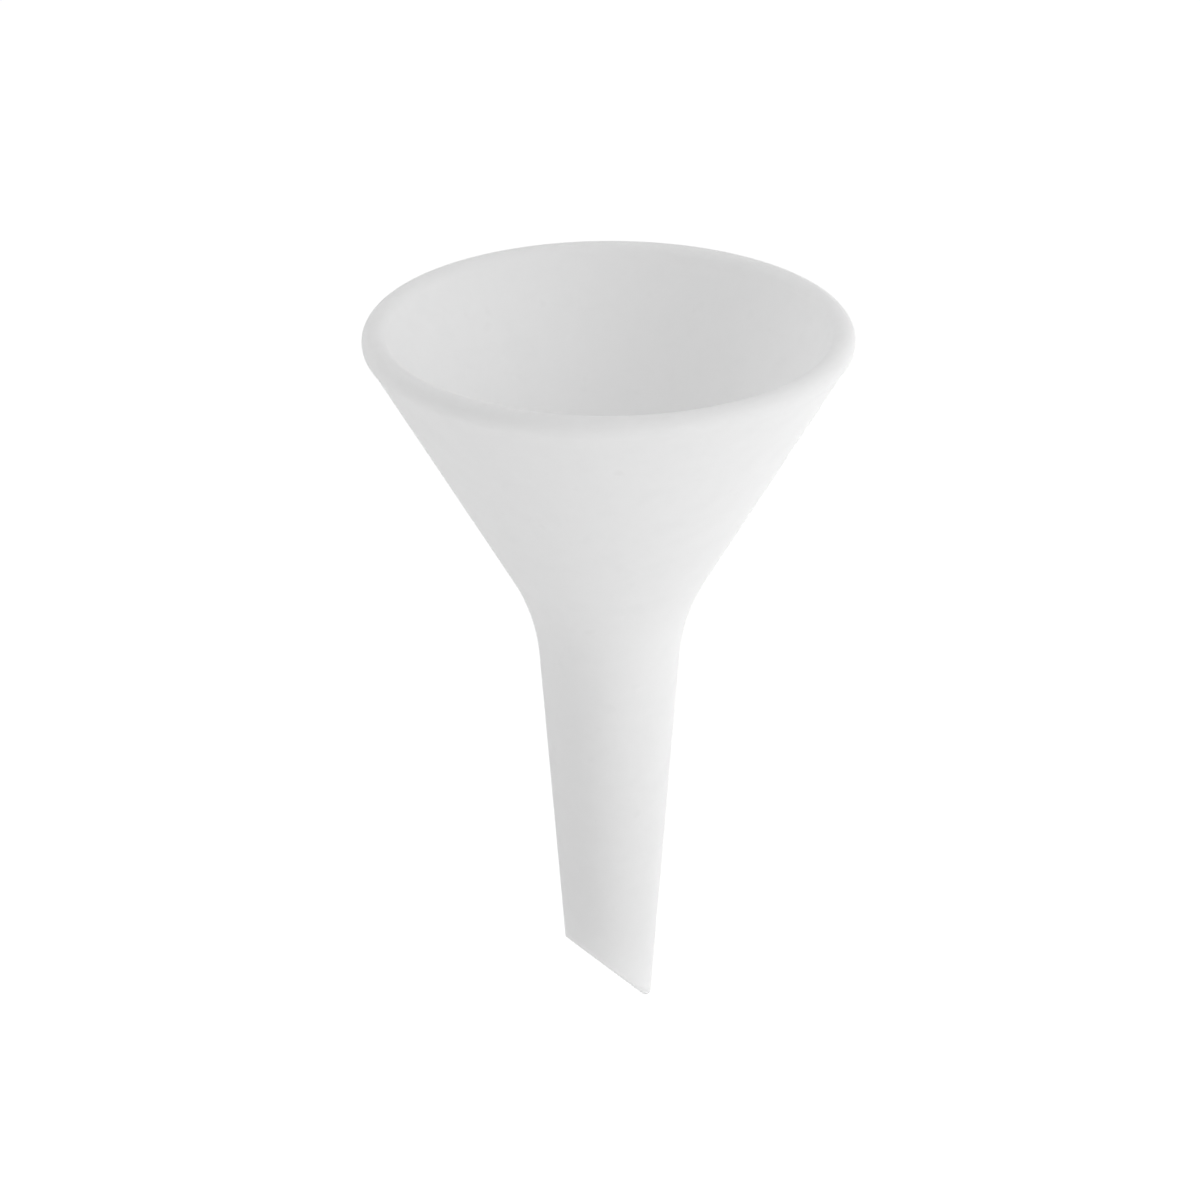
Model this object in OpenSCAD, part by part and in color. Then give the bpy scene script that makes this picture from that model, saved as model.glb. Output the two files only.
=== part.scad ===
// Conical laboratory funnel, turned in one piece from white fluoropolymer plastic.
// Round lip, plain conical bowl, filleted neck, tapered stem with a slanted, blunted tip.
// The axis is Z with the mouth up. The funnel hangs by its cone in a ring or a neck,
// and the origin is on the axis, level with the circle where the cone rests there.

/* [Bowl] */
// Outside diameter of the round lip
rim_d = 75; // [60:0.5:100]
// Full angle of the cone, the same inside and outside
cone_angle = 60; // [50:1:75]
// Thickness of the bowl's wall
bowl_wall = 3.6; // [2:0.1:5]
// How much thicker than the wall the round lip is
lip_bead = 0.3; // [0.05:0.05:2]
// Outside diameter at which the cone hangs in its ring
seat_d = 50; // [36:1:58]

/* [Stem] */
// Outside diameter where the cone and the stem would meet without a fillet
neck_d = 22.9; // [18:0.1:26]
// Length of the stem from there to the blunt end of its tip
stem_l = 68.4; // [40:0.1:100]
// Outside diameter of the stem at the blunt end of its tip
tip_d = 12.5; // [11:0.1:16]
// Diameter of the straight bore through the stem
bore_d = 8.5; // [5:0.1:9]
// Radius of the fillet outside, between the cone and the stem
neck_r = 33; // [5:1:45]
// Radius of the blend inside, between the bowl and the bore
throat_r = 12; // [3:1:20]

/* [Tip] */
// Slant of the tip, away from a cut square across the stem
tip_slant = 45; // [20:1:50]
// Where the tip is longest, turned from the +X side towards the +Y side
tip_turn = 32; // [0:1:360]
// How much of the sharp point of the slanted tip is taken off square
tip_blunt = 0.9; // [0.2:0.1:1.5]

/* [Hidden] */
$fn = 180;
plastic_white = [0.93, 0.93, 0.92];
// Spare length by which cutting shapes run past what they cut
spare = 2;
// How far a blend's arc runs into the lines it joins, so that it crosses them cleanly
arc_bite = 0.005;

// Angles of the cone and the stem from the axis
cone_lean = cone_angle / 2;
stem_lean = atan((neck_d - tip_d) / 2 / stem_l);
cone_up = [sin(cone_lean), cos(cone_lean)];
cone_out = [cos(cone_lean), -sin(cone_lean)];

// Corners of the wall's section, as [radius, height]
neck_corner = [neck_d / 2, (neck_d - seat_d) / 2 / tan(cone_lean)];
lip_r = (bowl_wall + lip_bead) / 2;
cone_top_r = rim_d / 2 - lip_r + bowl_wall / 2 * cone_out[0];
cone_top = [cone_top_r, (cone_top_r - seat_d / 2) / tan(cone_lean)];
lip_centre = cone_top - bowl_wall / 2 * cone_out;
bowl_top = cone_top - bowl_wall * cone_out;
throat_corner = [bore_d / 2, bowl_top[1] - (bowl_top[0] - bore_d / 2) / tan(cone_lean)];
tip_z = neck_corner[1] - stem_l;

// Half section from the axis out to a line at lean below the corner, an arc of blend_r
// in the corner, and the cone's line above it, which ends square at top
module half_section(corner, lean, blend_r, bottom, top) {
    blend_l = blend_r * tan((cone_lean - lean) / 2);
    low_end = corner - blend_l * [sin(lean), cos(lean)];
    high_start = corner + blend_l * cone_up;
    centre = low_end + blend_r * [cos(lean), -sin(lean)];
    foot_r = low_end[0] - (low_end[1] - bottom) * tan(lean);
    axis_top = [0, top[1] + top[0] * tan(cone_lean)];
    difference() {
        polygon([[0, bottom], [foot_r, bottom], low_end, high_start, top, axis_top]);
        translate(centre) circle(r = blend_r + arc_bite);
    }
}

module wall_section() {
    difference() {
        half_section(neck_corner, stem_lean, neck_r, tip_z, cone_top);
        half_section(throat_corner, 0, throat_r, tip_z - spare, bowl_top + spare * cone_up);
    }
    translate(lip_centre) circle(r = lip_r);
}

// All that lies beyond the slanted plane of the tip, which would end in a sharp point
module tip_cut() {
    size = 2 * neck_d + stem_l;
    point = [tip_d / 2 - tip_blunt * tan(stem_lean), 0, tip_z - tip_blunt];
    rotate([0, 0, tip_turn]) translate(point) rotate([0, tip_slant, 0])
        translate([-size / 2, -size / 2, -size]) cube(size);
}

module funnel() {
    color(plastic_white)
        difference() {
            rotate_extrude() wall_section();
            tip_cut();
        }
}

funnel();
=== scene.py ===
"""Looks of a conical laboratory funnel, turned in one piece from white fluoropolymer plastic.

Lengths are in metres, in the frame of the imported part: Z runs up the axis, and the origin
is level with the circle on which the cone hangs in its ring.
"""

import math

import bpy
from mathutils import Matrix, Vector


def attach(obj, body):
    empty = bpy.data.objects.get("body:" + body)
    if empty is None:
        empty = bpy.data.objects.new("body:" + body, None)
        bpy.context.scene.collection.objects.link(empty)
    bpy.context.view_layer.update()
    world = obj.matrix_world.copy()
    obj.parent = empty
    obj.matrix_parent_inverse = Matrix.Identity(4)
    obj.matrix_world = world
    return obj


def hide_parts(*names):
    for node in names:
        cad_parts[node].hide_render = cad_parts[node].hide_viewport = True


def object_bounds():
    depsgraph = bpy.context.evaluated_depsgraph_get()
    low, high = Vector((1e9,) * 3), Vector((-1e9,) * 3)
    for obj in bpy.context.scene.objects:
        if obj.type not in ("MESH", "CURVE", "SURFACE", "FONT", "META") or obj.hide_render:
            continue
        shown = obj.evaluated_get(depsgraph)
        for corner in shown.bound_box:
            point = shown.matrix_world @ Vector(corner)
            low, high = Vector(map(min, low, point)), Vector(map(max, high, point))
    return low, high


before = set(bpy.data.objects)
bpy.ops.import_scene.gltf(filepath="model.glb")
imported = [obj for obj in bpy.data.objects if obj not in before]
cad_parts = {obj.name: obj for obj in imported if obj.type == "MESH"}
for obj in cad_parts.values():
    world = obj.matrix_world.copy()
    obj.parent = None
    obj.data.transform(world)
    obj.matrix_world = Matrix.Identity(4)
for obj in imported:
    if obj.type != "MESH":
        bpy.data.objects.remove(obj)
cad_low, cad_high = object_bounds()

MM = 0.001

# Shape of the funnel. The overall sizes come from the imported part.
RIM_R = cad_high.x
MOUTH_Z = cad_high.z
TIP_Z = cad_low.z
LIP_R = 1.95 * MM
BOWL_WALL = 3.6 * MM
# The round lip stands a little proud of the wall, and meets it in a soft crease
CREASE_R = 12 * MM
CONE_LEAN = math.radians(30)
NECK_R = 33 * MM
THROAT_R = 12 * MM
BORE_R = 4.25 * MM
TIP_R = 6.25 * MM
# By how much the stem's radius grows from the tip to the neck, over the stem's length
STEM_TAPER = 5.2 / 68.4
TIP_SLANT = math.radians(45)
TIP_TURN = math.radians(32)
# The slanted tip would end this much lower if its edge were sharp
TIP_BLUNT = 0.9 * MM
# Radii of the softened edges outside and inside at the tip
TIP_EDGE_R = 0.85 * MM
BORE_EDGE_R = 0.3 * MM

# Fineness of the mesh: steps around the axis, then along each arc and straight run
AROUND = 240
LIP_STEPS = 12
BLEND_STEPS = 18
EDGE_STEPS = 8
RUN_STEPS = 26
CUT_STEPS = 6

# Textures of the plastic: features to a metre, and how many finer layers they have
CLOUD = {"Scale": 150.0, "Detail": 4.0}
GRAIN = {"Scale": 1500.0, "Detail": 3.0}
SMUDGE = {"Scale": 350.0, "Detail": 1.0}
TURNING = {"Scale": 700.0, "Distortion": 0.6, "Detail": 2.0}
# The part of a noise texture's values that most of the surface has, and the high values at
# which the few smudges set in
NOISE_MIDDLE = (0.3, 0.7)
SMUDGE_ONSET = (0.68, 0.8)
# The cloud goes from the dark tint to the pale one, and the grain over the roughness
DARK_TINT = (0.92, 0.92, 0.92, 1)
PALE_TINT = (0.96, 0.96, 0.96, 1)
ROUGHNESS = (0.6, 0.72)
# Relief of the turning marks and of the grain
TURNING_RELIEF = {"Strength": 0.12, "Distance": 0.02 * MM}
GRAIN_RELIEF = {"Strength": 0.25, "Distance": 0.04 * MM}
# Gloss of the plastic, and how far light passes into it
PLASTIC_IOR = 1.35
PLASTIC_SPECULAR = 0.3
LIGHT_DEPTH = 6 * MM

# The photograph's frame, in pixels, and the camera that took it
IMAGE_SIZE = 1200
RIM_CENTRE_PX = (609.6, 338.1)
FOCAL_PX = 5925.0
VIEW_FAR = 900 * MM
VIEW_UP = math.radians(22.0)
VIEW_ROLL = math.radians(-0.21)
SENSOR_MM = 36.0

# Studio: a soft white surround that grows lighter overhead, a floor well below, and large
# square lamps with their turn from the camera to its right, their height over the funnel,
# both in degrees, and their power in watts
WHITE = (1, 1, 1, 1)
SURROUND = (0.396, 0.619)
FLOOR_DROP = 580 * MM
FLOOR_REACH = 4.0
FLOOR_COLOR = (0.85, 0.85, 0.85, 1)
# Glow that makes the floor white where the camera sees it
FLOOR_LIFT = 0.55
LAMP_AIM = Vector((0, 0, -30 * MM))
LAMP_FAR = 0.8
LAMP_SIZE = 0.7
LAMPS = {
    "key": (70, 20, 2.222),
    "back_left": (240, 15, 1.553),
    "back_right": (135, -15, 1.797),
    "low_front": (0, -40, 2.071),
}


def arc(centre, start, end, steps):
    """Points about the centre from start to end, over less than half a turn."""
    first, last = start - centre, end - centre
    sweep = first.angle(last)
    points = []
    for k in range(steps + 1):
        share = k / steps
        mixed = first * math.sin((1 - share) * sweep) + last * math.sin(share * sweep)
        points.append(centre + mixed / math.sin(sweep))
    return points


def rounded_corner(before, corner, after, radius, steps):
    """Arc of that radius which rounds the corner between two neighbours."""
    back = (before - corner).normalized()
    on = (after - corner).normalized()
    half = back.angle(on) / 2
    reach = radius / math.tan(half)
    centre = corner + (back + on).normalized() * (radius / math.sin(half))
    return arc(centre, corner + back * reach, corner + on * reach, steps)


def straight_run(start, end, steps):
    """Points between start and end, closer together near the two ends."""
    return [start.lerp(end, (1 - math.cos(math.pi * k / steps)) / 2) for k in range(1, steps)]


def meet(point, direction, other, other_direction):
    """Where two lines in the section's plane cross."""
    across = direction.x * other_direction.y - direction.y * other_direction.x
    gap = other - point
    return point + direction * ((gap.x * other_direction.y - gap.y * other_direction.x) / across)


def lip_side(lip, up, away):
    """From the top of the lip down its side, through the soft crease, to the face of the wall."""
    half = BOWL_WALL / 2
    drop = math.sqrt((LIP_R + CREASE_R) ** 2 - (half + CREASE_R) ** 2)
    centre = lip + away * (half + CREASE_R) - up * drop
    touch = lip.lerp(centre, LIP_R / (LIP_R + CREASE_R))
    bead = arc(lip, lip + up * LIP_R, touch, LIP_STEPS)
    crease = arc(centre, touch, centre - away * CREASE_R, EDGE_STEPS)
    return bead[:-1] + crease


def section(turn):
    """Closed outline of the wall at one turn around the axis, as (radius, height) points."""
    up = Vector((math.sin(CONE_LEAN), math.cos(CONE_LEAN)))
    out = Vector((math.cos(CONE_LEAN), -math.sin(CONE_LEAN)))
    lip = Vector((RIM_R - LIP_R, MOUTH_Z - LIP_R))
    outside, inside = lip_side(lip, up, out), lip_side(lip, up, -out)
    bore, bore_up = Vector((BORE_R, 0)), Vector((0, 1))
    stem_up = Vector((STEM_TAPER, 1))
    long_point = Vector((TIP_R, TIP_Z)) - TIP_BLUNT * stem_up
    slope = math.tan(TIP_SLANT)
    cut_from = Vector((0, long_point.y + slope * long_point.x))
    cut_along = Vector((1, -slope * math.cos(turn - TIP_TURN)))
    corners = [
        outside[-1],
        meet(outside[-1], up, long_point, stem_up),
        meet(long_point, stem_up, cut_from, cut_along),
        meet(bore, bore_up, cut_from, cut_along),
        meet(inside[-1], up, bore, bore_up),
        inside[-1],
    ]
    radii = [NECK_R, TIP_EDGE_R, BORE_EDGE_R, THROAT_R]
    arc_steps = [BLEND_STEPS, EDGE_STEPS, EDGE_STEPS, BLEND_STEPS]
    run_steps = [RUN_STEPS, RUN_STEPS, CUT_STEPS, RUN_STEPS, RUN_STEPS]
    pieces = [
        rounded_corner(*corners[k:k + 3], radius, steps)
        for k, (radius, steps) in enumerate(zip(radii, arc_steps))
    ]
    # Last comes the lip's inner side, up to but without the top, where the outline started
    pieces.append(inside[:0:-1])
    points = outside
    for piece, steps in zip(pieces, run_steps):
        points = points + straight_run(points[-1], piece[0], steps) + piece
    return points


def lathe_mesh(name):
    """The whole funnel as one closed skin of quads, a section at each step around the axis."""
    verts, faces = [], []
    for step in range(AROUND):
        turn = 2 * math.pi * step / AROUND
        ring = section(turn)
        count = len(ring)
        verts += [(p.x * math.cos(turn), p.x * math.sin(turn), p.y) for p in ring]
        here, there = step * count, (step + 1) % AROUND * count
        for k in range(count):
            on = (k + 1) % count
            faces.append((here + k, here + on, there + on, there + k))
    mesh = bpy.data.meshes.new(name)
    mesh.from_pydata(verts, [], faces)
    mesh.polygons.foreach_set("use_smooth", [True] * len(faces))
    mesh.validate()
    return mesh


def add_node(tree, kind, **sockets):
    """A node of that kind, with inputs set to values or linked from other sockets."""
    node = tree.nodes.new(kind)
    for name, value in sockets.items():
        socket = node.inputs[name.replace("_", " ")]
        if isinstance(value, bpy.types.NodeSocket):
            tree.links.new(value, socket)
        else:
            socket.default_value = value
    return node


def spread(tree, value, target, source=NOISE_MIDDLE):
    """A socket with the values stretched from the source range over the target range."""
    node = add_node(
        tree, "ShaderNodeMapRange", Value=value,
        From_Min=source[0], From_Max=source[1], To_Min=target[0], To_Max=target[1],
    )
    return node.outputs["Result"]


def reckon(tree, operation, first, second):
    """A socket with the result of one arithmetic operation on a socket and a socket or number."""
    node = tree.nodes.new("ShaderNodeMath")
    node.operation = operation
    tree.links.new(first, node.inputs[0])
    if isinstance(second, bpy.types.NodeSocket):
        tree.links.new(second, node.inputs[1])
    else:
        node.inputs[1].default_value = second
    return node.outputs["Value"]


def plastic_tint(tree, where):
    """A socket with the plastic's colour: faintly mottled, with the dark tint in a few smudges."""
    cloud = add_node(tree, "ShaderNodeTexNoise", Vector=where, **CLOUD).outputs["Fac"]
    smudge = add_node(tree, "ShaderNodeTexNoise", Vector=where, **SMUDGE).outputs["Fac"]
    clear = spread(tree, smudge, (1, 0), SMUDGE_ONSET)
    mottle = reckon(tree, "MULTIPLY", spread(tree, cloud, (0, 1)), clear)
    tint = add_node(tree, "ShaderNodeMix")
    tint.data_type = "RGBA"
    tint.inputs["A"].default_value = DARK_TINT
    tint.inputs["B"].default_value = PALE_TINT
    tree.links.new(mottle, tint.inputs["Factor"])
    return tint.outputs["Result"]


def white_plastic():
    """Sintered fluoropolymer: waxy white, with a fine grain and fine turning marks."""
    material = bpy.data.materials.new("white_plastic")
    material.use_nodes = True
    tree = material.node_tree
    shader = tree.nodes["Principled BSDF"]
    where = tree.nodes.new("ShaderNodeTexCoord").outputs["Object"]
    tree.links.new(plastic_tint(tree, where), shader.inputs["Base Color"])
    grain = add_node(tree, "ShaderNodeTexNoise", Vector=where, **GRAIN).outputs["Fac"]
    tree.links.new(spread(tree, grain, ROUGHNESS), shader.inputs["Roughness"])
    marks = add_node(tree, "ShaderNodeTexWave", Vector=where, **TURNING)
    marks.bands_direction = "Z"
    turned = add_node(tree, "ShaderNodeBump", Height=marks.outputs["Fac"], **TURNING_RELIEF)
    rough = add_node(
        tree, "ShaderNodeBump", Height=grain, Normal=turned.outputs["Normal"], **GRAIN_RELIEF,
    )
    tree.links.new(rough.outputs["Normal"], shader.inputs["Normal"])
    shader.inputs["IOR"].default_value = PLASTIC_IOR
    shader.inputs["Specular IOR Level"].default_value = PLASTIC_SPECULAR
    shader.inputs["Subsurface Weight"].default_value = 1.0
    shader.inputs["Subsurface Radius"].default_value = (1, 1, 1)
    shader.inputs["Subsurface Scale"].default_value = LIGHT_DEPTH
    return material


def seen_directly(tree):
    """1 on the rays that show the background itself: from the camera, in gloss and in glass."""
    path = tree.nodes.new("ShaderNodeLightPath")
    seen = path.outputs["Is Camera Ray"]
    for name in ("Is Glossy Ray", "Is Transmission Ray"):
        seen = reckon(tree, "MAXIMUM", seen, path.outputs[name])
    return seen


def floor_material():
    """Matt white that keeps the shadows, lifted to white where the camera sees it."""
    material = bpy.data.materials.new("studio_floor")
    material.use_nodes = True
    tree = material.node_tree
    tree.nodes.clear()
    matt = add_node(tree, "ShaderNodeBsdfDiffuse", Color=FLOOR_COLOR)
    strength = reckon(tree, "MULTIPLY", seen_directly(tree), FLOOR_LIFT)
    lift = add_node(tree, "ShaderNodeEmission", Strength=strength)
    both = tree.nodes.new("ShaderNodeAddShader")
    tree.links.new(matt.outputs["BSDF"], both.inputs[0])
    tree.links.new(lift.outputs["Emission"], both.inputs[1])
    out = tree.nodes.new("ShaderNodeOutputMaterial")
    tree.links.new(both.outputs["Shader"], out.inputs["Surface"])
    return material


def add_funnel():
    """The funnel itself, in place of its plain solid."""
    funnel = bpy.data.objects.new("funnel_body", lathe_mesh("funnel_body"))
    bpy.context.scene.collection.objects.link(funnel)
    funnel.data.materials.append(white_plastic())
    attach(funnel, "root")
    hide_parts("funnel")


def add_floor():
    """A plain floor below the hanging funnel."""
    mesh = bpy.data.meshes.new("studio_floor")
    z = TIP_Z - FLOOR_DROP
    square = [(-1, -1), (1, -1), (1, 1), (-1, 1)]
    verts = [(x * FLOOR_REACH, y * FLOOR_REACH, z) for x, y in square]
    mesh.from_pydata(verts, [], [(0, 1, 2, 3)])
    floor = bpy.data.objects.new("studio_floor", mesh)
    bpy.context.scene.collection.objects.link(floor)
    mesh.materials.append(floor_material())


def add_surround():
    """Soft white light from all round, stronger from overhead, and seen as plain white."""
    world = bpy.data.worlds.new("studio")
    bpy.context.scene.world = world
    world.use_nodes = True
    tree = world.node_tree
    ground = tree.nodes["Background"]
    ground.inputs["Color"].default_value = WHITE
    direction = tree.nodes.new("ShaderNodeTexCoord").outputs["Generated"]
    height = add_node(tree, "ShaderNodeSeparateXYZ", Vector=direction).outputs["Z"]
    light = spread(tree, height, SURROUND, (0, 1))
    level = add_node(tree, "ShaderNodeMix", Factor=seen_directly(tree), A=light, B=1.0)
    tree.links.new(level.outputs["Result"], ground.inputs["Strength"])


def add_lamp(name, turn, height, watts):
    """A large soft lamp at that turn and height, facing the funnel."""
    turn, height = math.radians(turn), math.radians(height)
    lamp = bpy.data.lights.new(name, "AREA")
    lamp.shape = "SQUARE"
    lamp.size = LAMP_SIZE
    lamp.energy = watts
    thing = bpy.data.objects.new(name, lamp)
    bpy.context.scene.collection.objects.link(thing)
    towards = Vector((
        math.sin(turn) * math.cos(height),
        -math.cos(turn) * math.cos(height),
        math.sin(height),
    ))
    thing.location = LAMP_AIM + towards * LAMP_FAR
    thing.rotation_euler = (-towards).to_track_quat("-Z", "Y").to_euler()
    thing.visible_camera = False


def add_camera():
    """The camera of the photograph, which looks along +Y and down into the bowl."""
    data = bpy.data.cameras.new("camera")
    data.sensor_width = SENSOR_MM
    data.lens = FOCAL_PX / IMAGE_SIZE * SENSOR_MM
    camera = bpy.data.objects.new("camera", data)
    bpy.context.scene.collection.objects.link(camera)
    right_px = RIM_CENTRE_PX[0] - IMAGE_SIZE / 2
    up_px = IMAGE_SIZE / 2 - RIM_CENTRE_PX[1]
    raised = math.atan(up_px / FOCAL_PX)
    depth = VIEW_FAR * math.cos(raised)
    camera.location = (
        -right_px / FOCAL_PX * depth,
        -VIEW_FAR * math.cos(VIEW_UP),
        MOUTH_Z - LIP_R + VIEW_FAR * math.sin(VIEW_UP),
    )
    camera.rotation_mode = "ZYX"
    camera.rotation_euler = (math.pi / 2 - VIEW_UP - raised, 0, VIEW_ROLL)
    bpy.context.scene.camera = camera


bpy.context.scene.view_settings.view_transform = "Standard"
add_camera()
add_surround()
for lamp_name, lamp_place in LAMPS.items():
    add_lamp(lamp_name, *lamp_place)
add_floor()
add_funnel()
